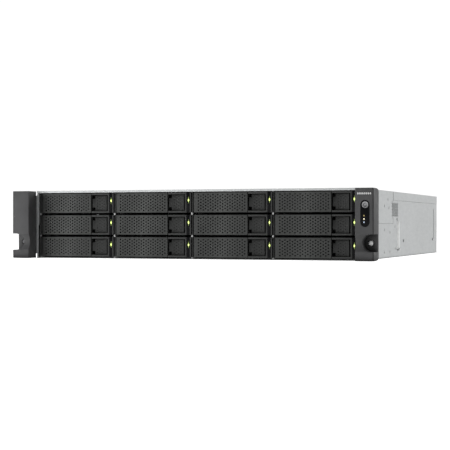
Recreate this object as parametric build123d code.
from build123d import *
import os
from math import cos, radians, sin

# A 2U, 19-inch rack-mounted network attached storage unit with twelve front drive bays.
# Millimetres. +X is to the right seen from the front, +Y runs to the rear and +Z is up.
# The origin lies under the middle of the whole unit, on the surface it rests on.

# ------------------------------------------------------------------ driving dimensions
TOTAL_DEPTH = 560.0        # ear fronts to the power supplies' handles
FLANGE_WIDTH = 482.6       # rack flange, edge to edge: 19 inches
SCREW_SPACING = 465.1      # rack screws, centre to centre
SCREW_HEIGHT = 21.775      # rack screws above the base
CHASSIS_WIDTH = 436.0
CHASSIS_HEIGHT = 88.2
CHASSIS_LENGTH = 504.5
SHEET = 1.2                # steel sheet
COVER_SHEET = 1.1
COVER_GAP = 0.2            # between a cover and the sheet under it

EAR_FRONT = -TOTAL_DEPTH / 2
EAR_DEPTH = 18.4           # plastic ear cap, front to rack flange
EAR_WIDTH = 22.0           # ear cap across its front
EAR_BOTTOM = 0.5
EAR_TOP = 87.5
FACE = EAR_FRONT + 24.0    # plane of the tray faces
CHASSIS_FRONT = FACE + 0.5
CHASSIS_REAR = CHASSIS_FRONT + CHASSIS_LENGTH
COVER_SPLIT = EAR_FRONT + 209.0
HALF = CHASSIS_WIDTH / 2
FLANGE_HALF = FLANGE_WIDTH / 2
SCREW_X = SCREW_SPACING / 2

COLUMNS = 4
ROWS = 3
COLUMN_PITCH = 107.1
ROW_PITCH = 28.2
ROW_HEIGHT = 25.5
LOWEST_ROW = 2.6

# ------------------------------------------------------------------ helpers


def block(x0, x1, y0, y1, z0, z1):
    """A box between two opposite corners."""
    size = Box(abs(x1 - x0), abs(y1 - y0), abs(z1 - z0))
    return Pos((x0 + x1) / 2, (y0 + y1) / 2, (z0 + z1) / 2) * size


def rod_y(x, z, radius, y0, y1):
    """A round bar along Y."""
    return Pos(x, (y0 + y1) / 2, z) * Rot(90, 0, 0) * Cylinder(radius, y1 - y0)


def rod_x(y, z, radius, x0, x1):
    """A round bar along X."""
    return Pos((x0 + x1) / 2, y, z) * Rot(0, 90, 0) * Cylinder(radius, abs(x1 - x0))


def rod_z(x, y, radius, z0, z1):
    """A round bar along Z."""
    return Pos(x, y, (z0 + z1) / 2) * Cylinder(radius, z1 - z0)


def one(shape):
    """The single solid of a shape."""
    solids = shape.solids()
    if len(solids) != 1:
        raise ValueError(f"expected one solid, found {len(solids)}")
    return solids[0]


def save(node, *shapes):
    """Writes one node, made of one or more separate solids."""
    solids = [solid for shape in shapes for solid in shape.solids()]
    body = solids[0] if len(solids) == 1 else Compound(children=solids)
    body.label = node
    export_step(body, f"parts/{node}.step")


os.makedirs("parts", exist_ok=True)

# ------------------------------------------------------------------ chassis
WALL_TOP = CHASSIS_HEIGHT - COVER_SHEET - COVER_GAP
JOGGLE = SHEET + 0.1                 # how far the upper wall is set in behind a cover flange
FLAP_BOTTOM = 45.5                   # front cover's side flap
SKIRT_BOTTOM = 76.6                  # top cover's side flange
LAP = 2.0                            # height over which the two wall levels are joined
PAN_FRONT = FACE + 12.0              # the pan starts under the tray fronts
RETURN_WIDTH = 1.8                   # turned-in front edge of a side wall
RETURN_TOP = 84.9
VENT_FRONT = EAR_FRONT + 202.6
VENT_BOTTOM = 55.9
VENT_RADIUS = 1.6
VENT_PITCH = 4.05
VENT_COLUMNS = 11
VENT_ROWS = 5                        # every other column has one hole fewer
VENT_TOP = VENT_BOTTOM + VENT_PITCH * (VENT_ROWS - 1)
VENT_MARGIN = 3.0
VENT_STEP = 0.3
VENT_SHEET = 0.6                     # sheet left in the pressed-thin field of holes
VENT_FIELD = 2.2                     # reach of that field beyond the holes' centres
SPLIT_SLOT = 1.0                     # open slot behind the front cover's rear edge
CABLE_HOLE = 2.2
CABLE_HOLE_PLACE = (233.0, 51.3)     # depth from the ear fronts, and height
RACK_PLATE = 2.0                     # thickness of the rack flange
BRACKET_LENGTH = 46.0                # leg of the flange along the side wall
BRACKET_SHEET = 1.5
LEG_GAP = 0.4
PLATE_HALF = 239.6                   # the ear cap wraps round the plate's edges
PLATE_BOTTOM = 6.0
PLATE_TOP = 82.0
SCREW_HOLE = 2.6
RIB_Y = EAR_FRONT + 237.0            # rail stop on the side wall
RIB_THICK = 2.0
RIB_PROUD = 2.6
RIB_BOTTOM = 10.5
RIB_TOP = 48.5
KNOB_PROUD = 3.2
KNOB_HALF = 1.5
PAD_FRONT = EAR_FRONT + 502.0        # raised pad near the rear edge
PAD_REAR = EAR_FRONT + 509.0
PAD_PROUD = 0.4
PAD_BOTTOM = 23.0
PAD_TOP = 68.0

PSU_WIDTH = 73.5
PSU_HEIGHT = 40.0
PSU_LENGTH = 185.0
PSU_LEFT = 141.4
PSU_BOTTOMS = (2.0, 45.2)
BAY_LENGTH = 200.0
BAY_WALL = PSU_LEFT - 0.7
BAY_SHELF = 42.8
BAY_CLEAR = 0.5

IO_LEFT = -206.0                     # window in the rear wall for the rear panel
IO_RIGHT = 128.0
IO_BOTTOM = 5.0
IO_TOP = 80.0


def side_wall(side):
    """One side wall: an outer level below the covers' flanges and a set-in level behind them."""
    outer = side * HALF
    inner = side * (HALF - SHEET)
    deep = side * (HALF - JOGGLE - SHEET)
    wall = block(inner, outer, CHASSIS_FRONT, COVER_SPLIT, 0, FLAP_BOTTOM - COVER_GAP)
    wall += block(inner, outer, COVER_SPLIT, CHASSIS_REAR, 0, SKIRT_BOTTOM - COVER_GAP)
    front_lap = FLAP_BOTTOM - COVER_GAP - LAP
    rear_lap = SKIRT_BOTTOM - COVER_GAP - LAP
    wall += block(deep, inner, CHASSIS_FRONT + SHEET, COVER_SPLIT + LAP, front_lap, WALL_TOP)
    wall += block(deep, inner, COVER_SPLIT, CHASSIS_REAR, rear_lap, WALL_TOP)
    # Vent patch: it lies level with the outer face, in a notch of the front cover's flap.
    patch_front = VENT_FRONT - VENT_PITCH / 2
    wall += block(inner, outer, patch_front, COVER_SPLIT, VENT_BOTTOM - VENT_MARGIN, VENT_TOP + VENT_MARGIN)
    column_pitch = VENT_PITCH * cos(radians(30))
    vent_rear = VENT_FRONT + (VENT_COLUMNS - 1) * column_pitch
    wall -= block(deep - side * LAP, outer - side * VENT_SHEET, patch_front + VENT_STEP, vent_rear + VENT_FIELD,
                  VENT_BOTTOM - VENT_FIELD, VENT_TOP + VENT_FIELD)
    holes = []
    for column in range(VENT_COLUMNS):
        y = VENT_FRONT + column * column_pitch
        rise = VENT_PITCH / 2 * (column % 2)
        for row in range(VENT_ROWS - column % 2):
            z = VENT_BOTTOM + row * VENT_PITCH + rise
            holes.append(rod_x(y, z, VENT_RADIUS, deep - side * LAP, outer + side * LAP))
    hole_depth, hole_height = CABLE_HOLE_PLACE
    holes.append(rod_x(EAR_FRONT + hole_depth, hole_height, CABLE_HOLE, deep - side * LAP, outer + side * LAP))
    holes.append(block(deep - side * LAP, outer + side * LAP, COVER_SPLIT - SPLIT_SLOT, COVER_SPLIT,
                       FLAP_BOTTOM, VENT_BOTTOM - VENT_MARGIN))
    wall -= holes
    # Front edge turned inwards, and the rail stop and pad standing proud of the outer face.
    wall += block(side * (HALF - RETURN_WIDTH), outer, CHASSIS_FRONT, CHASSIS_FRONT + SHEET, 0, RETURN_TOP)
    wall += block(inner, outer + side * RIB_PROUD, RIB_Y - RIB_THICK / 2, RIB_Y + RIB_THICK / 2,
                  RIB_BOTTOM, RIB_TOP)
    wall += block(inner, outer + side * KNOB_PROUD, RIB_Y - RIB_THICK, RIB_Y + RIB_THICK / 2,
                  RIB_BOTTOM - KNOB_HALF, RIB_BOTTOM + KNOB_HALF)
    wall += block(inner, outer + side * PAD_PROUD, PAD_FRONT, PAD_REAR, PAD_BOTTOM, PAD_TOP)
    return wall


def rack_flange(side):
    """The steel flange behind an ear cap, with its leg along the side wall."""
    flange_y = EAR_FRONT + EAR_DEPTH
    leg_outer = HALF + BRACKET_SHEET
    leg_start = FACE + LEG_GAP
    flange = block(side * leg_outer, side * PLATE_HALF, flange_y, flange_y + RACK_PLATE,
                   PLATE_BOTTOM, PLATE_TOP)
    flange += block(side * leg_outer, side * (leg_outer + SHEET), flange_y, leg_start + SHEET,
                    PLATE_BOTTOM, PLATE_TOP)
    flange += block(side * HALF, side * (leg_outer + SHEET), leg_start, leg_start + SHEET,
                    PLATE_BOTTOM, PLATE_TOP)
    flange += block(side * HALF, side * leg_outer, leg_start, leg_start + BRACKET_LENGTH,
                    PLATE_BOTTOM, PLATE_TOP)
    hole = rod_y(side * SCREW_X, SCREW_HEIGHT, SCREW_HOLE, flange_y - 1, flange_y + RACK_PLATE + 1)
    return flange - hole


def chassis_base():
    """Pan, side walls, rear wall, rack flanges and the bay that holds the power supplies."""
    pan = block(-HALF, HALF, PAN_FRONT, CHASSIS_REAR, 0, SHEET)
    rear = block(-HALF + SHEET, HALF - SHEET, CHASSIS_REAR - SHEET, CHASSIS_REAR, 0, WALL_TOP)
    rear_front = CHASSIS_REAR - SHEET - 1
    rear_back = CHASSIS_REAR + 1
    rear -= block(IO_LEFT, IO_RIGHT, rear_front, rear_back, IO_BOTTOM, IO_TOP)
    for bottom in PSU_BOTTOMS:
        rear -= block(PSU_LEFT - BAY_CLEAR, PSU_LEFT + PSU_WIDTH + BAY_CLEAR, rear_front, rear_back,
                      bottom - BAY_CLEAR, bottom + PSU_HEIGHT + BAY_CLEAR)
    bay_front = CHASSIS_REAR - BAY_LENGTH
    bay = block(BAY_WALL - SHEET, BAY_WALL, bay_front, CHASSIS_REAR, 0, WALL_TOP)
    bay += block(BAY_WALL - SHEET, HALF - SHEET, bay_front, CHASSIS_REAR, BAY_SHELF, BAY_SHELF + SHEET)
    base = pan + rear + bay
    for side in (-1, 1):
        base += side_wall(side)
        base += rack_flange(side)
    return one(base)


save("chassis_base", chassis_base())

# ------------------------------------------------------------------ covers
LIP_BOTTOM = 85.4
FLAP_START = CHASSIS_FRONT + SHEET + 0.3
SEAM = 1.0
VENT_GAP = 0.3                       # between the vent patch and the notch round it
TONGUE = 6.0
REAR_SKIRT = 86.3
COVER_UNDER = CHASSIS_HEIGHT - COVER_SHEET


def front_cover():
    """Fixed cover over the drive bays, with a front lip and a deep flap on each side."""
    cover = block(-HALF, HALF, FACE, COVER_SPLIT, COVER_UNDER, CHASSIS_HEIGHT)
    cover += block(-HALF, HALF, FACE, FACE + COVER_SHEET, LIP_BOTTOM, CHASSIS_HEIGHT)
    patch_front = VENT_FRONT - VENT_PITCH / 2 - VENT_GAP
    patch_top = VENT_TOP + VENT_MARGIN + VENT_GAP
    for side in (-1, 1):
        inner = side * (HALF - COVER_SHEET)
        cover += block(inner, side * HALF, FLAP_START, COVER_SPLIT - SEAM, FLAP_BOTTOM, CHASSIS_HEIGHT)
        cover -= block(inner - side, side * (HALF + 1), patch_front, COVER_SPLIT + 1,
                       VENT_BOTTOM - VENT_MARGIN - VENT_GAP, patch_top)
    return one(cover)


def top_cover():
    """Removable rear cover that slides rearwards to release."""
    front = COVER_SPLIT + SEAM
    rear = CHASSIS_REAR + COVER_GAP
    cover = block(-HALF, HALF, front, rear + COVER_SHEET, COVER_UNDER, CHASSIS_HEIGHT)
    for side in (-1, 1):
        cover += block(side * (HALF - COVER_SHEET), side * HALF, front, rear + COVER_SHEET,
                       SKIRT_BOTTOM, CHASSIS_HEIGHT)
    cover += block(-HALF, HALF, rear, rear + COVER_SHEET, REAR_SKIRT, CHASSIS_HEIGHT)
    # A set-down tongue runs under the front cover's rear edge.
    tongue_half = HALF - 2 * JOGGLE - SHEET
    tongue_top = COVER_UNDER - COVER_GAP
    cover += block(-tongue_half, tongue_half, front, front + TONGUE, tongue_top - COVER_SHEET, COVER_UNDER)
    cover += block(-tongue_half, tongue_half, front - TONGUE, front, tongue_top - COVER_SHEET, tongue_top)
    return one(cover)


save("front_cover", front_cover())
save("top_cover", top_cover())

# ------------------------------------------------------------------ drive cage
CAGE_FRONT = FACE + 3.0
CAGE_REAR = EAR_FRONT + 199.0
LEDGE_REACH = 2.4
LEDGE_RISE = 1.4
LEDGE_START = FACE + 22.0
HEM_HALF = 1.2                       # folded front edge of an upright
HEM_DEPTH = 1.5
CAGE_PLATE = 1.0


def row_bottom(row):
    """Underside of a row's tray faces; row 0 is the top row."""
    return LOWEST_ROW + (ROWS - 1 - row) * ROW_PITCH


def column_left(column):
    """Left edge of a column's share of the width."""
    return (column - COLUMNS / 2) * COLUMN_PITCH


def upright(column):
    """Wall between two columns, with its folded front edge and the ledges that carry the trays."""
    x = column_left(column)
    top = WALL_TOP - CAGE_PLATE
    wall = block(x - SHEET / 2, x + SHEET / 2, CAGE_FRONT, CAGE_REAR, SHEET, top)
    wall += block(x - HEM_HALF, x + HEM_HALF, CAGE_FRONT, CAGE_FRONT + HEM_DEPTH, SHEET, top)
    left_reach = LEDGE_REACH if column > 0 else SHEET / 2
    right_reach = LEDGE_REACH if column < COLUMNS else SHEET / 2
    for row in range(ROWS):
        z = row_bottom(row) + LEDGE_RISE
        wall += block(x - left_reach, x + right_reach, LEDGE_START, CAGE_REAR, z, z + SHEET)
    return one(wall)


def drive_cage():
    """Uprights and the top plate that is welded across them."""
    half = COLUMNS / 2 * COLUMN_PITCH + SHEET / 2
    plate = block(-half, half, CAGE_FRONT, CAGE_REAR, WALL_TOP - CAGE_PLATE, WALL_TOP)
    return [plate] + [upright(column) for column in range(COLUMNS + 1)]


save("drive_cage", *drive_cage())

# ------------------------------------------------------------------ trays
# Distances along X are from the column's left edge, and heights are from the row's underside.
BEZEL_LEFT = 1.5
BEZEL_RIGHT = 105.6
BEZEL_DEPTH = 20.0
LIP_CLEAR = 0.2                      # side lips cover the uprights, up to this from the column's edge
LIP_THICK = 2.4
GROOVE_DEPTH = 1.8                   # how far the left lip lies behind the face
HANDLE_RIGHT = 74.9
HANDLE_THICK = 6.8
HANDLE_WALL = 1.4
HANDLE_GAP = 0.2                     # above and below the handle
PIVOT_RADIUS = 3.4                   # rounding of the handle about its pin
PIVOT_X = 5.9
PIVOT_Y = FACE + PIVOT_RADIUS
POCKET_LEFT = 2.2
POCKET_RIGHT = 75.6
POCKET_DEPTH = 8.0
PIN_RADIUS = 0.9
PIN_BORE = 0.95
PIN_CLEAR = 0.02                     # between the pin and the lugs that hold it
PIN_INSET = 0.3
LUG_RADIUS = 1.65
LUG_HALF = 1.3
LUG_HEIGHT = 4.0
LUG_RISE = 2.2
RECESS_LEFT = 75.6
RECESS_RIGHT = 98.7
RECESS_BAR = 2.3
RECESS_DEPTH = 16.5
STRIP_LEFT = 100.9                   # channel of the light guide strip
STRIP_RIGHT = 105.1
STRIP_DEPTH = 0.6

PADDLE_LEFT = 79.6
PADDLE_RIGHT = 96.8
PADDLE_CLEAR = 0.4
PADDLE_FRONT = 1.2
PADDLE_REAR = 13.0
TAB_LEFT = 76.4                      # narrower tab at the paddle's left
TAB_INSET = 4.3
SCOOP_X = 86.0                       # axis of the round scoop in the paddle's face
SCOOP_Y = -15.6
SCOOP_RADIUS = 20.0

DRIVE_WIDTH = 101.6
DRIVE_LENGTH = 147.0
DRIVE_HEIGHT = 26.1
DRIVE_CHAMFER = 1.5
DRIVE_FRONT = FACE + 23.0
RAIL_THICK = 1.2
RAIL_BOTTOM = 2.9
RAIL_TOP = 22.0
RAIL_REAR = DRIVE_FRONT + DRIVE_LENGTH


def extruded(sketch, z0, z1):
    """A flat outline in plan, raised between two heights."""
    return extrude(Plane.XY.offset(z0) * sketch, amount=z1 - z0)


def bezel(x, z):
    """Moulded tray front: a pocket for the handle, a framed recess and two pin lugs."""
    top = z + ROW_HEIGHT
    body = block(x + BEZEL_LEFT, x + BEZEL_RIGHT, FACE, FACE + BEZEL_DEPTH, z, top)
    body += block(x + LIP_CLEAR, x + COLUMN_PITCH - LIP_CLEAR, FACE, FACE + LIP_THICK, z, top)
    body -= block(x + POCKET_LEFT, x + POCKET_RIGHT, FACE - 1, FACE + POCKET_DEPTH, z - 1, top + 1)
    body -= block(x, x + POCKET_LEFT, FACE - 1, FACE + GROOVE_DEPTH, z - 1, top + 1)
    body -= block(x + RECESS_LEFT - 1, x + RECESS_RIGHT, FACE - 1, FACE + RECESS_DEPTH,
                  z + RECESS_BAR, top - RECESS_BAR)
    body -= block(x + STRIP_LEFT, x + STRIP_RIGHT, FACE - 1, FACE + STRIP_DEPTH, z - 1, top + 1)
    pin_x = x + PIVOT_X
    for bottom in (z + LUG_RISE, top - LUG_RISE - LUG_HEIGHT):
        lug = rod_z(pin_x, PIVOT_Y, LUG_RADIUS, bottom, bottom + LUG_HEIGHT)
        lug += block(pin_x - LUG_HALF, pin_x + LUG_HALF, PIVOT_Y, FACE + POCKET_DEPTH + 1,
                     bottom, bottom + LUG_HEIGHT)
        body += lug
    body -= rod_z(pin_x, PIVOT_Y, PIN_RADIUS + PIN_CLEAR, z - 1, top + 1)
    return one(body)


def sled(x, z):
    """Front web and two side rails that carry the drive."""
    web_y = FACE + BEZEL_DEPTH
    bottom = z + RAIL_BOTTOM
    top = z + RAIL_TOP
    left = x + BEZEL_LEFT
    right = x + BEZEL_RIGHT
    frame = block(left, right, web_y, web_y + RAIL_THICK, bottom, top)
    frame += block(left, left + RAIL_THICK, web_y, RAIL_REAR, bottom, top)
    frame += block(right - RAIL_THICK, right, web_y, RAIL_REAR, bottom, top)
    return one(frame)


def drive(x, z):
    """A 3.5-inch disk drive."""
    centre_x = x + COLUMN_PITCH / 2
    centre_z = z + ROW_HEIGHT / 2
    body = block(centre_x - DRIVE_WIDTH / 2, centre_x + DRIVE_WIDTH / 2, DRIVE_FRONT,
                 DRIVE_FRONT + DRIVE_LENGTH, centre_z - DRIVE_HEIGHT / 2, centre_z + DRIVE_HEIGHT / 2)
    return one(chamfer(body.edges().filter_by(Axis.Z), DRIVE_CHAMFER))


def handle(x, z):
    """Lever plate with turned-back edges, rounded about its hinge pin."""
    bottom = z + HANDLE_GAP
    top = z + ROW_HEIGHT - HANDLE_GAP
    pin_x = x + PIVOT_X
    right = x + HANDLE_RIGHT
    body = block(pin_x, right, FACE, FACE + HANDLE_THICK, bottom, top)
    body += rod_z(pin_x, PIVOT_Y, PIVOT_RADIUS, bottom, top)
    body -= block(x, right - HANDLE_WALL, FACE + HANDLE_WALL, FACE + HANDLE_THICK + 1,
                  bottom + HANDLE_WALL, top - HANDLE_WALL)
    body -= rod_z(pin_x, PIVOT_Y, PIN_BORE, bottom - 1, top + 1)
    return one(body)


def release(x, z):
    """Release paddle with a scooped face for a fingertip."""
    bottom = z + RECESS_BAR + PADDLE_CLEAR
    top = z + ROW_HEIGHT - RECESS_BAR - PADDLE_CLEAR
    front = FACE + PADDLE_FRONT
    rear = FACE + PADDLE_REAR
    body = block(x + PADDLE_LEFT, x + PADDLE_RIGHT, front, rear, bottom, top)
    body += block(x + TAB_LEFT, x + PADDLE_LEFT, front, rear, bottom + TAB_INSET, top - TAB_INSET)
    body -= rod_z(x + SCOOP_X, FACE + SCOOP_Y, SCOOP_RADIUS, bottom - 1, top + 1)
    return one(body)


for row in range(ROWS):
    for column in range(COLUMNS):
        bay_name = f"{row * COLUMNS + column + 1:02d}"
        left = column_left(column)
        bottom = row_bottom(row)
        pin = rod_z(left + PIVOT_X, PIVOT_Y, PIN_RADIUS, bottom + PIN_INSET,
                    bottom + ROW_HEIGHT - PIN_INSET)
        save(f"tray_{bay_name}", bezel(left, bottom), sled(left, bottom), drive(left, bottom), pin)
        save(f"handle_{bay_name}", handle(left, bottom))
        save(f"release_{bay_name}", release(left, bottom))

# ------------------------------------------------------------------ ears
EAR_INNER = HALF - 0.8
EAR_SLEEVE = 1.4                     # inner wall beside the flange
EAR_ROUND = 2.0                      # rounded inner front edge
CORNER_DEPTH = 12.0                  # rounding of the rear corners, along the depth and in height
CORNER_HEIGHT = 4.2
CORNER_STEPS = 8
POCKET_FLOOR = 1.4
HEAD_HOLE = 3.6                      # in the pocket's floor, round the screw's head
PLATE_CLEAR = 0.2
POCKET_RADIUS = 10.5                 # half-round pocket around a rack screw
POCKET_REACH = 15.0                  # from the outer edge to the pocket's inner end
COVE_DEPTH = 3.5                     # shallow round groove from the inner edge to the pocket
COVE_HALF = 10.0
COVE_RADIUS = (COVE_HALF**2 + COVE_DEPTH**2) / (2 * COVE_DEPTH)
WINDOW_WIDTH = 10.8
WINDOW_HEIGHT = 31.7
WINDOW_X = 229.4
WINDOW_Z = 57.0
WINDOW_FRONT = 0.6
WINDOW_THICK = 2.0
WINDOW_POCKET = 10.0
WINDOW_GAP = 0.2
BUTTON_RADIUS = 3.95
BUTTON_HOLE = 4.25
BUTTON_FRONT = 0.2
BUTTON_LENGTH = 6.0
BUTTON_ROUND = 0.5
LED_RADIUS = 0.9
LED_GAP = 0.02
LED_X = 228.1
LED_HEIGHTS = (54.4, 50.5, 46.6)
BUTTON_Z = WINDOW_Z + WINDOW_HEIGHT / 2 - WINDOW_WIDTH / 2


def pill(width, height, y0, y1):
    """An upright slot shape with round ends, between two depths."""
    outline = Pos(0, 0) * SlotOverall(height, width, rotation=90)
    plate = extrude(Plane.XZ * outline, amount=y1 - y0)
    return Pos(WINDOW_X, y1, WINDOW_Z) * plate


def ear_side_view():
    """Outline of a cap from the side, with its rear corners rounded."""
    back = EAR_FRONT + EAR_DEPTH + RACK_PLATE
    top = [(EAR_FRONT, EAR_TOP)]
    for step in range(CORNER_STEPS + 1):
        turn = radians(90 * step / CORNER_STEPS)
        top.append((back - CORNER_DEPTH + CORNER_DEPTH * sin(turn),
                    EAR_TOP - CORNER_HEIGHT + CORNER_HEIGHT * cos(turn)))
    middle = (EAR_TOP + EAR_BOTTOM) / 2
    bottom = [(y, 2 * middle - z) for y, z in reversed(top)]
    return make_face(Polyline(*top, *bottom, close=True))


def ear(side):
    """Moulded cap that wraps a rack flange from the front."""
    rear = EAR_FRONT + EAR_DEPTH
    back = rear + RACK_PLATE
    outline = Polyline((EAR_INNER, EAR_FRONT), (HALF + EAR_WIDTH, EAR_FRONT), (FLANGE_HALF, back),
                       (EAR_INNER, back), close=True)
    cap = extruded(make_face(outline), EAR_BOTTOM, EAR_TOP)
    cap = fillet(cap.edges().filter_by(Axis.Z).sort_by(Axis.X)[:2].sort_by(Axis.Y)[0], EAR_ROUND)
    cap &= extrude(Plane.YZ.offset(EAR_INNER - 1) * ear_side_view(), amount=FLANGE_HALF - EAR_INNER + 2)
    cap -= block(EAR_INNER + EAR_SLEEVE, PLATE_HALF + PLATE_CLEAR, rear, back + 1,
                 PLATE_BOTTOM - PLATE_CLEAR, PLATE_TOP + PLATE_CLEAR)
    pocket_centre = HALF + EAR_WIDTH - POCKET_REACH + POCKET_RADIUS
    floor = rear - POCKET_FLOOR
    cap -= rod_y(pocket_centre, SCREW_HEIGHT, POCKET_RADIUS, EAR_FRONT - 1, floor)
    cap -= block(pocket_centre, FLANGE_HALF + 1, EAR_FRONT - 1, floor, SCREW_HEIGHT - POCKET_RADIUS,
                 SCREW_HEIGHT + POCKET_RADIUS)
    cap -= rod_y(SCREW_X, SCREW_HEIGHT, HEAD_HOLE, floor - 1, back + 1)
    cap -= rod_x(EAR_FRONT + COVE_DEPTH - COVE_RADIUS, SCREW_HEIGHT, COVE_RADIUS, HALF - 2, pocket_centre)
    if side > 0:
        cap -= pill(WINDOW_WIDTH + WINDOW_GAP, WINDOW_HEIGHT + WINDOW_GAP, EAR_FRONT - 1, EAR_FRONT + WINDOW_POCKET)
        return one(cap)
    return one(mirror(cap, about=Plane.YZ))


save("ear_left", ear(-1))
save("ear_right", ear(1))


def status_window():
    """Dark window around the power button, with three small lamps."""
    front = EAR_FRONT + WINDOW_FRONT
    rear = front + WINDOW_THICK
    plate = pill(WINDOW_WIDTH, WINDOW_HEIGHT, front, rear)
    plate -= rod_y(WINDOW_X, BUTTON_Z, BUTTON_HOLE, front - 1, rear + 1)
    lamps = []
    for height in LED_HEIGHTS:
        plate -= rod_y(LED_X, height, LED_RADIUS + LED_GAP, front - 1, rear + 1)
        lamps.append(rod_y(LED_X, height, LED_RADIUS, front, rear))
    return [one(plate)] + lamps


save("status_window", *status_window())

button = rod_y(WINDOW_X, BUTTON_Z, BUTTON_RADIUS, EAR_FRONT + BUTTON_FRONT,
               EAR_FRONT + BUTTON_FRONT + BUTTON_LENGTH)
save("power_button", fillet(button.edges().group_by(Axis.Y)[0], BUTTON_ROUND))

# ------------------------------------------------------------------ rack screws
HEAD_RADIUS = 3.1
HEAD_HEIGHT = 2.6
HEAD_ROUND = 1.1
SHANK_RADIUS = 2.5
SHANK_LENGTH = 13.5
NECK_RADIUS = 2.1               # the thread can't slip back through the flange
NECK_LENGTH = 2.9
SEAT_GAP = 0.1


def rack_screw(side):
    """Captive screw with a domed head."""
    seat = EAR_FRONT + EAR_DEPTH - SEAT_GAP
    head = rod_y(0, 0, HEAD_RADIUS, seat - HEAD_HEIGHT, seat)
    head = fillet(head.edges().group_by(Axis.Y)[0], HEAD_ROUND)
    neck = rod_y(0, 0, NECK_RADIUS, seat, seat + NECK_LENGTH)
    thread = rod_y(0, 0, SHANK_RADIUS, seat + NECK_LENGTH, seat + SHANK_LENGTH)
    screw = head + neck + thread
    return one(Pos(side * SCREW_X, 0, SCREW_HEIGHT) * screw)


save("thumbscrew_left", rack_screw(-1))
save("thumbscrew_right", rack_screw(1))

# ------------------------------------------------------------------ backplane and fans
BACKPLANE_FRONT = EAR_FRONT + 200.5
BACKPLANE_THICK = 2.0
BACKPLANE_HALF = 212.0
BACKPLANE_BOTTOM = 3.0
BACKPLANE_TOP = 84.0
PLUG_WIDTH = 42.0
PLUG_HEIGHT = 6.0
PLUG_LENGTH = 5.0
AIR_SLOT = 12.0


def backplane():
    """Circuit board behind the drives, with one connector a drive and air slots."""
    rear = BACKPLANE_FRONT + BACKPLANE_THICK
    board = block(-BACKPLANE_HALF, BACKPLANE_HALF, BACKPLANE_FRONT, rear, BACKPLANE_BOTTOM, BACKPLANE_TOP)
    plugs = []
    for column in range(COLUMNS):
        for row in range(ROWS):
            x = column_left(column) + COLUMN_PITCH / 2
            z = row_bottom(row) + RECESS_BAR
            board -= block(x - PLUG_WIDTH, x + PLUG_WIDTH, BACKPLANE_FRONT - 1, rear + 1,
                           z + PLUG_HEIGHT + 1, z + PLUG_HEIGHT + 1 + AIR_SLOT)
            plugs.append(block(x - PLUG_WIDTH / 2, x + PLUG_WIDTH / 2, BACKPLANE_FRONT - PLUG_LENGTH,
                               BACKPLANE_FRONT, z, z + PLUG_HEIGHT))
    return [one(board)] + plugs


save("backplane", *backplane())

FAN_SIZE = 80.0
FAN_THICK = 25.0
FAN_BORE = 38.0
FAN_XS = (-142.0, 0.0, 142.0)
FAN_Z = 43.6
FAN_WALL = EAR_FRONT + 245.0
HUB_RADIUS = 18.0
BLADE_RADIUS = 36.5
BLADES = 7
BLADE_TILT = 35
BLADE_CHORD = 1.4                    # of the rotor's length
BLADE_THICK = 1.5
ROTOR_FRONT = FAN_WALL + SHEET + 2.0
ROTOR_REAR = FAN_WALL + SHEET + 19.0
STRUT_REAR = FAN_WALL + SHEET + FAN_THICK
STRUT_FRONT = STRUT_REAR - 4.0
STRUT_WIDTH = 4.0
SPINDLE_RADIUS = 1.5
SPINDLE_BORE = 1.56


def fan_frame(x):
    """Square fan frame with its motor mount and spindle."""
    front = FAN_WALL + SHEET
    frame = block(x - FAN_SIZE / 2, x + FAN_SIZE / 2, front, STRUT_REAR, FAN_Z - FAN_SIZE / 2,
                  FAN_Z + FAN_SIZE / 2)
    frame -= rod_y(x, FAN_Z, FAN_BORE, front - 1, STRUT_REAR + 1)
    for turn in (45, 135):
        strut = Rot(0, turn, 0) * Box(2 * FAN_BORE + 2, STRUT_REAR - STRUT_FRONT, STRUT_WIDTH)
        frame += Pos(x, (STRUT_FRONT + STRUT_REAR) / 2, FAN_Z) * strut
    frame += rod_y(x, FAN_Z, HUB_RADIUS, STRUT_FRONT, STRUT_REAR)
    frame += rod_y(x, FAN_Z, SPINDLE_RADIUS, ROTOR_FRONT + 3, STRUT_FRONT + 1)
    return one(frame)


def fan_wall():
    """Sheet across the chassis that the fans blow through."""
    half = HALF - JOGGLE - 2 * SHEET
    wall = block(-half, half, FAN_WALL, FAN_WALL + SHEET, SHEET, WALL_TOP - 1)
    for x in FAN_XS:
        wall -= rod_y(x, FAN_Z, FAN_BORE, FAN_WALL - 1, FAN_WALL + SHEET + 1)
    return one(wall)


def fan_rotor(x):
    """Hub and swept blades on a spindle."""
    length = ROTOR_REAR - ROTOR_FRONT
    middle = (ROTOR_FRONT + ROTOR_REAR) / 2
    ring = rod_y(0, 0, BLADE_RADIUS, ROTOR_FRONT + 1, ROTOR_REAR - 1)
    reach = BLADE_RADIUS + 2
    hub = rod_y(0, 0, HUB_RADIUS, ROTOR_FRONT, ROTOR_REAR)
    rotor = hub
    for blade in range(BLADES):
        plate = Pos(reach / 2, 0, 0) * Rot(BLADE_TILT, 0, 0) * Box(reach, length * BLADE_CHORD, BLADE_THICK)
        plate = Pos(0, middle, 0) * Rot(0, blade * 360 / BLADES, 0) * plate
        rotor += plate & ring
    rotor -= rod_y(0, 0, SPINDLE_BORE, ROTOR_FRONT + 2, ROTOR_REAR + 1)
    return one(Pos(x, 0, FAN_Z) * rotor)


save("fan_frames", fan_wall(), *[fan_frame(x) for x in FAN_XS])
for number, x in enumerate(FAN_XS, start=1):
    save(f"fan_rotor_{number}", fan_rotor(x))

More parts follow.
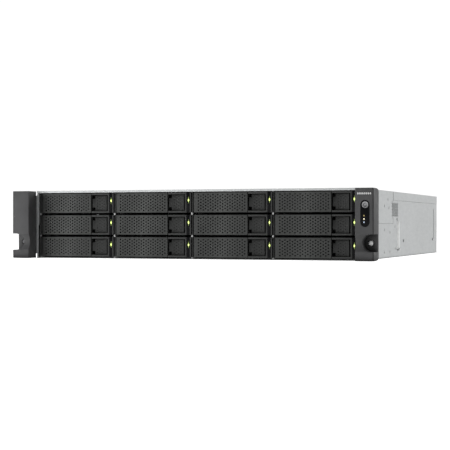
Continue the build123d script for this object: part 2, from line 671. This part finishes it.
# ------------------------------------------------------------------ electronics
BOARD_LEFT = -204.0
BOARD_RIGHT = 126.0
BOARD_FRONT = EAR_FRONT + 300.0
BOARD_REAR = CHASSIS_REAR - SHEET - 1.0
BOARD_BOTTOM = 6.5
BOARD_THICK = 1.6
STANDOFF_RADIUS = 3.0
BOARD_TOP = BOARD_BOTTOM + BOARD_THICK
SOCKET_XS = (-188.0, -170.0, -152.0, -134.0)     # network ports
JACK_WIDTH = 17.4
JACK_HEIGHT = 13.4
JACK_LENGTH = 21.0
JACK_OPENING = 11.8
JACK_OPENING_HEIGHT = 9.0
USB_XS = (-112.0, -95.0)
USB_WIDTH = 16.2
PORT_WALL = 1.5                      # side wall of a bus socket
USB_HEIGHT = 7.2
USB_SHELL = 0.9
HEATSINK_X = -60.0
HEATSINK_Y = BOARD_FRONT + 95.0
HEATSINK_SIZE = 78.0
HEATSINK_HEIGHT = 34.0
HEATSINK_BASE = 5.0
FINS = 16
FIN_THICK = 1.2
DIMM_LENGTH = 133.0
DIMM_HEIGHT = 30.0
DIMM_XS = (20.0, 32.0, 44.0, 56.0)
DIMM_Y = BOARD_FRONT + 95.0
DIMM_SOCKET = 6.5
DIMM_HALF = 0.6
CHIP_THICK = 1.2
CHIP_HALF = 5.0
CHIP_COUNT = 8
CHIP_PITCH = 15.5
CHIP_START = 12.0
CHIP_BOTTOM = 7.0
CHIP_TOP = 19.0


def motherboard():
    """Main board on standoffs, with network and bus sockets along its rear edge."""
    pieces = [one(block(BOARD_LEFT, BOARD_RIGHT, BOARD_FRONT, BOARD_REAR, BOARD_BOTTOM, BOARD_TOP))]
    for x in (BOARD_LEFT + 8, (BOARD_LEFT + BOARD_RIGHT) / 2, BOARD_RIGHT - 8):
        for y in (BOARD_FRONT + 8, BOARD_REAR - 40):
            pieces.append(rod_z(x, y, STANDOFF_RADIUS, SHEET, BOARD_BOTTOM))
    for x in SOCKET_XS:
        jack = block(x - JACK_WIDTH / 2, x + JACK_WIDTH / 2, BOARD_REAR - JACK_LENGTH, BOARD_REAR,
                     BOARD_TOP, BOARD_TOP + JACK_HEIGHT)
        jack -= block(x - JACK_OPENING / 2, x + JACK_OPENING / 2, BOARD_REAR - JACK_LENGTH + 4,
                      BOARD_REAR + 1, BOARD_TOP + 2, BOARD_TOP + 2 + JACK_OPENING_HEIGHT)
        pieces.append(one(jack))
    for x in USB_XS:
        port = block(x - USB_WIDTH / 2, x + USB_WIDTH / 2, BOARD_REAR - JACK_LENGTH, BOARD_REAR,
                     BOARD_TOP, BOARD_TOP + USB_HEIGHT)
        port -= block(x - USB_WIDTH / 2 + PORT_WALL, x + USB_WIDTH / 2 - PORT_WALL, BOARD_REAR - JACK_LENGTH + 5,
                      BOARD_REAR + 1, BOARD_TOP + USB_SHELL, BOARD_TOP + USB_HEIGHT - USB_SHELL)
        pieces.append(one(port))
    for x in DIMM_XS:
        pieces.append(one(block(x - DIMM_SOCKET / 2, x + DIMM_SOCKET / 2, DIMM_Y - DIMM_LENGTH / 2 - 4,
                                DIMM_Y + DIMM_LENGTH / 2 + 4, BOARD_TOP, BOARD_TOP + DIMM_SOCKET)))
    half = HEATSINK_SIZE / 2 - 12
    pieces.append(one(block(HEATSINK_X - half, HEATSINK_X + half, HEATSINK_Y - half, HEATSINK_Y + half,
                            BOARD_TOP, BOARD_TOP + 4)))
    return pieces


def heatsink():
    """Finned block on the processor."""
    bottom = BOARD_TOP + 4
    half = HEATSINK_SIZE / 2
    sink = block(HEATSINK_X - half, HEATSINK_X + half, HEATSINK_Y - half, HEATSINK_Y + half, bottom,
                 bottom + HEATSINK_BASE)
    step = (HEATSINK_SIZE - FIN_THICK) / (FINS - 1)
    for fin in range(FINS):
        x = HEATSINK_X - half + fin * step
        sink += block(x, x + FIN_THICK, HEATSINK_Y - half, HEATSINK_Y + half, bottom,
                      bottom + HEATSINK_HEIGHT)
    return one(sink)


def memory_modules():
    """Memory boards standing in their sockets."""
    bottom = BOARD_TOP + DIMM_SOCKET
    boards = []
    for x in DIMM_XS:
        board = block(x - DIMM_HALF, x + DIMM_HALF, DIMM_Y - DIMM_LENGTH / 2, DIMM_Y + DIMM_LENGTH / 2, bottom,
                      bottom + DIMM_HEIGHT)
        for chip in range(CHIP_COUNT):
            y = DIMM_Y - DIMM_LENGTH / 2 + CHIP_START + chip * CHIP_PITCH
            board += block(x - DIMM_HALF - CHIP_THICK, x - DIMM_HALF, y - CHIP_HALF, y + CHIP_HALF,
                           bottom + CHIP_BOTTOM, bottom + CHIP_TOP)
        boards.append(one(board))
    return boards


save("motherboard", *motherboard())
save("heatsink", heatsink())
save("memory_modules", *memory_modules())

# ------------------------------------------------------------------ rear panel
PANEL_THICK = 1.0
PANEL_EDGE = 3.0
PANEL_DROP = 1.0
PORT_CLEAR = 0.3
SLOT_CLEAR = 0.4                     # above and below a slot cover
SLOT_SILL = 2.0
SLOT_HEAD = 6.0
SLOT_LEFT = 20.0                     # expansion slot covers
SLOT_PITCH = 20.3
SLOT_WIDTH = 18.4
SLOT_COUNT = 4


def rear_panel():
    """Connector shield with its exhaust grille above, and the expansion slot covers."""
    front = CHASSIS_REAR
    rear = front + PANEL_THICK
    slots_right = SLOT_LEFT + SLOT_COUNT * SLOT_PITCH
    plate = block(IO_LEFT - PANEL_EDGE, IO_RIGHT + PANEL_EDGE, front, rear, IO_BOTTOM - PANEL_EDGE,
                  IO_TOP - PANEL_DROP)
    for xs, width, height in ((SOCKET_XS, JACK_WIDTH, JACK_HEIGHT), (USB_XS, USB_WIDTH, USB_HEIGHT)):
        plate -= block(xs[0] - width / 2 - PORT_CLEAR, xs[-1] + width / 2 + PORT_CLEAR, front - 1, rear + 1,
                       BOARD_TOP - PORT_CLEAR, BOARD_TOP + height + PORT_CLEAR)
    plate -= block(SLOT_LEFT, slots_right, front - 1, rear + 1, BOARD_TOP + SLOT_SILL,
                   IO_TOP - SLOT_HEAD)
    pieces = [one(plate)]
    for slot in range(SLOT_COUNT):
        x = SLOT_LEFT + slot * SLOT_PITCH + SLOT_PITCH / 2
        pieces.append(one(block(x - SLOT_WIDTH / 2, x + SLOT_WIDTH / 2, front, rear,
                                BOARD_TOP + SLOT_SILL + SLOT_CLEAR, IO_TOP - SLOT_HEAD - SLOT_CLEAR)))
    return pieces


save("rear_panel", *rear_panel())

# ------------------------------------------------------------------ power supplies
PSU_FRONT = CHASSIS_REAR - PSU_LENGTH
PSU_PLATE = 1.2
PSU_RIM = 0.8                        # the end plate overlaps the bay's edge
INLET_X = 49.0                       # from the module's left side
INLET_Z = 20.0
INLET_WIDTH = 27.4
INLET_HEIGHT = 19.8
INLET_CAVITY_WIDTH = 24.0
INLET_CAVITY_HEIGHT = 16.4
INLET_DEPTH = 17.0
BLADE_WIDTH = 2.0
BLADE_HEIGHT = 4.0
BLADE_LENGTH = 13.0
GUARD_X = 20.0
GUARD_RADIUS = 17.0
GUARD_RINGS = (14.5, 11.0, 7.5, 4.0)
GUARD_GAP = 2.0
GUARD_BAR = 0.8
GUARD_DEPTH = 14.0
BAIL_X = 29.0
BAIL_GRIP = 3.0
BAIL_HALF = 15.0
LATCH_X = 68.5
LATCH_Z = 20.0
LATCH_THICK = 1.6
LATCH_HALF = 6.0
LATCH_PIN = 1.2
LATCH_REACH = 15.0
LATCH_WALL = 1.2                     # lever's wall round its pin
LATCH_BORE = 1.26
LATCH_TIP = 1.8
POST_REACH = 4.5


def psu(bottom):
    """Power supply module: case, end plate, mains inlet, pull handle and latch post."""
    x = PSU_LEFT
    rear = CHASSIS_REAR + PSU_PLATE
    case = block(x, x + PSU_WIDTH, PSU_FRONT, CHASSIS_REAR, bottom, bottom + PSU_HEIGHT)
    case += block(x - PSU_RIM, x + PSU_WIDTH + PSU_RIM, CHASSIS_REAR, rear, bottom - PSU_RIM,
                  bottom + PSU_HEIGHT + PSU_RIM)
    inlet_x = x + INLET_X
    inlet_z = bottom + INLET_Z
    case -= block(inlet_x - INLET_WIDTH / 2, inlet_x + INLET_WIDTH / 2, rear - INLET_DEPTH - 3, rear + 1,
                  inlet_z - INLET_HEIGHT / 2, inlet_z + INLET_HEIGHT / 2)
    case -= rod_y(x + GUARD_X, inlet_z, GUARD_RADIUS, rear - GUARD_DEPTH, rear + 1)
    inlet = block(inlet_x - INLET_WIDTH / 2, inlet_x + INLET_WIDTH / 2, rear - INLET_DEPTH - 3,
                  rear, inlet_z - INLET_HEIGHT / 2, inlet_z + INLET_HEIGHT / 2)
    inlet -= block(inlet_x - INLET_CAVITY_WIDTH / 2, inlet_x + INLET_CAVITY_WIDTH / 2,
                   rear - INLET_DEPTH, rear + 1, inlet_z - INLET_CAVITY_HEIGHT / 2,
                   inlet_z + INLET_CAVITY_HEIGHT / 2)
    for blade_x, blade_z in ((-7, 0), (0, 4), (7, 0)):
        inlet += block(inlet_x + blade_x - BLADE_WIDTH / 2, inlet_x + blade_x + BLADE_WIDTH / 2,
                       rear - INLET_DEPTH - 1, rear - INLET_DEPTH + BLADE_LENGTH,
                       inlet_z + blade_z - BLADE_HEIGHT / 2, inlet_z + blade_z + BLADE_HEIGHT / 2)
    guard = rod_y(x + GUARD_X, inlet_z, GUARD_RADIUS, rear - 1, rear)
    for radius in GUARD_RINGS:
        ring = rod_y(x + GUARD_X, inlet_z, radius, rear - 2, rear + 1)
        guard -= ring - rod_y(x + GUARD_X, inlet_z, radius - GUARD_GAP, rear - 3, rear + 2)
    guard += block(x + GUARD_X - GUARD_RADIUS, x + GUARD_X + GUARD_RADIUS, rear - 1, rear,
                   inlet_z - GUARD_BAR, inlet_z + GUARD_BAR)
    # Pull handle: a bail standing out of the end plate.
    bail_x = x + BAIL_X + BAIL_GRIP
    tip = TOTAL_DEPTH / 2
    bail = block(bail_x - BAIL_GRIP / 2, bail_x + BAIL_GRIP / 2, rear, tip, inlet_z - BAIL_HALF,
                 inlet_z + BAIL_HALF)
    bail -= block(bail_x - BAIL_GRIP, bail_x + BAIL_GRIP, rear - 1, tip - BAIL_GRIP,
                  inlet_z - BAIL_HALF + BAIL_GRIP, inlet_z + BAIL_HALF - BAIL_GRIP)
    # Post that the latch lever turns on.
    post = rod_z(x + LATCH_X, rear + 3, LATCH_PIN, inlet_z - LATCH_HALF - 3, inlet_z + LATCH_HALF + 3)
    for z in (inlet_z - LATCH_HALF - 3, inlet_z + LATCH_HALF + 1):
        post += block(x + LATCH_X - 2, x + LATCH_X + 2, rear, rear + POST_REACH, z, z + 2)
    return [one(case), one(inlet), one(guard), one(bail), one(post)]


def psu_latch(bottom):
    """Lever beside the handle that frees a power supply."""
    x = PSU_LEFT + LATCH_X
    z = bottom + LATCH_Z
    pin_y = CHASSIS_REAR + PSU_PLATE + 3
    lever = rod_z(x, pin_y, LATCH_PIN + LATCH_WALL, z - LATCH_HALF, z + LATCH_HALF)
    lever += block(x - LATCH_THICK / 2, x + LATCH_THICK / 2, pin_y, pin_y + LATCH_REACH,
                   z - LATCH_HALF, z + LATCH_HALF)
    lever += rod_z(x, pin_y + LATCH_REACH, LATCH_TIP, z - LATCH_HALF, z + LATCH_HALF)
    lever -= rod_z(x, pin_y, LATCH_BORE, z - LATCH_HALF - 1, z + LATCH_HALF + 1)
    return one(lever)


for number, bottom in enumerate(PSU_BOTTOMS, start=1):
    save(f"psu_{number}", *psu(bottom))
    save(f"psu_latch_{number}", psu_latch(bottom))

# ------------------------------------------------------------------ fasteners
# Depths are from the ear fronts, and heights are from the base.
RIVET_RADIUS = 1.7
RIVET_PROUD = 0.35
SHOULDER_RADIUS = 2.0
SHOULDER_PROUD = 1.2
SHOULDER_DROP = 1.2                  # the left side's shoulder screws sit this much lower
FLAP_RIVETS = ((156, 68), (177, 77), (183, 66))
WALL_RIVETS = ((156, 37), (189, 33.5), (156, 8), (189, 8), (220, 41), (222, 12))
SHOULDERS = ((275, 21.5), (494, 21.5))


def fasteners():
    """Rivets and shoulder screws on both sides, and the screws that hold the rear cover."""
    pieces = []
    for side in (-1, 1):
        face = side * HALF
        for depth, height in FLAP_RIVETS + WALL_RIVETS:
            pieces.append(rod_x(EAR_FRONT + depth, height, RIVET_RADIUS, face, face + side * RIVET_PROUD))
        for depth, height in SHOULDERS:
            rise = height if side > 0 else height - SHOULDER_DROP
            pieces.append(rod_x(EAR_FRONT + depth, rise, SHOULDER_RADIUS, face,
                                face + side * SHOULDER_PROUD))
    return pieces


save("fasteners", *fasteners())
